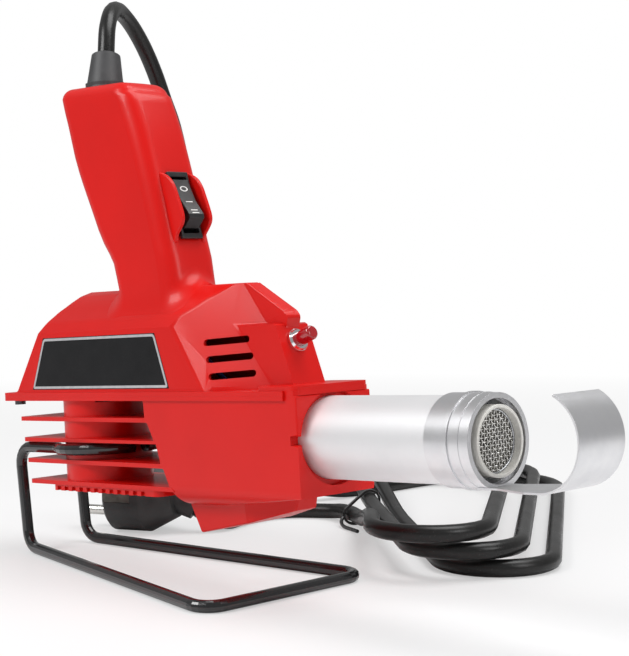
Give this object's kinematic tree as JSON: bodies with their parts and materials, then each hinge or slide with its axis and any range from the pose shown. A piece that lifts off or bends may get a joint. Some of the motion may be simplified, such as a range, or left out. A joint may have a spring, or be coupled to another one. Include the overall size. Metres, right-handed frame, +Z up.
{
  "type": "embossing heat tool",
  "caption": "Pistol-grip hot-air embossing tool with metal barrel, clip-on curved reflector, rocker switch and wire stand, with its mains cord looped beside it.",
  "frame": {"origin": "on the surface it stands on, midway between the housing's rear end and the reflector's front", "axes": "+X the way the nozzle points, +Z up, +Y to the tool's left"},
  "size_m": [0.3359, 0.3374, 0.25],
  "materials": {
    "red_upper": "red moulded plastic with a satin gloss",
    "screw_steel": "dark plated steel",
    "label_film": "black plate with a silver border",
    "black_switch": "black moulded plastic",
    "terminal_brass": "plain brass",
    "bezel_chrome": "chrome plated",
    "lamp_red": "translucent dark red",
    "lamp_white": "white nylon",
    "satin_aluminium": "satin tube",
    "ceramic": "unglazed ceramic",
    "mica": "mica board",
    "heater_wire": "resistance wire",
    "mesh_steel": "woven steel wire",
    "motor_steel": "plated steel",
    "ferrite": "ferrite magnet",
    "black_nylon": "black nylon",
    "carbon": "carbon brush",
    "bronze": "sintered bronze",
    "soft_mount": "rubber ring",
    "copper": "enamelled copper",
    "stand_black": "gloss black coated wire",
    "lead_blue": "insulated lead",
    "relief_grey": "dark grey rubber",
    "cord_black": "black rubber sheath",
    "tie_black": "black wire tie",
    "plug_black": "moulded black rubber"
  },
  "bodies": {
    "root": {"upper_housing": "red_upper", "lower_housing": "red_upper", "housing_screws": "screw_steel", "intake_grille": "red_upper", "label_plate": "label_film", "switch_frame": "black_switch", "switch_body": "black_switch", "switch_terminals": "terminal_brass", "lamp_bezel": "bezel_chrome", "lamp_lens": "lamp_red", "lamp_body": "lamp_white", "barrel": "satin_aluminium", "heater_tube": "ceramic", "tube_spacers": "satin_aluminium", "element_former": "mica", "heating_coil": "heater_wire", "mesh_screen": "mesh_steel", "thermal_cutoff": "satin_aluminium", "motor_can": "motor_steel", "motor_magnets": "ferrite", "motor_end_cap": "black_nylon", "motor_brushes": "carbon", "bearings": "bronze", "motor_mount": "soft_mount", "wire_stand": "stand_black", "inner_leads": "lead_blue", "strain_relief": "relief_grey", "cord_lead_in": "cord_black", "cord_run": "cord_black", "cord_hank": "cord_black", "cord_tie": "tie_black", "cord_tail": "cord_black", "plug_body": "plug_black", "plug_pins": "terminal_brass", "plug_earth_contacts": "terminal_brass"},
    "rocker": {"rocker": "black_switch"},
    "rotor": {"motor_shaft": "motor_steel", "armature_core": "motor_steel", "armature_windings": "copper", "commutator": "copper", "impeller": "black_nylon"},
    "reflector": {"reflector": "satin_aluminium"}
  },
  "joints": [
    {"name": "rocker_tilt", "type": "hinge", "parent": "root", "child": "rocker", "pos_m": [-0.05292, 0, 0.15412], "axis": [0, 1, 0], "range_deg": [0, 20]},
    {"name": "rotor_spin", "type": "hinge", "parent": "root", "child": "rotor", "pos_m": [-0.10614, 0, 0.0732], "axis": [-0.0628, 0, 0.998], "continuous": true},
    {"name": "reflector_slide", "type": "slide", "parent": "root", "child": "reflector", "axis": [0.998, 0, 0.0628], "range_m": [0, 0.013]}
  ]
}
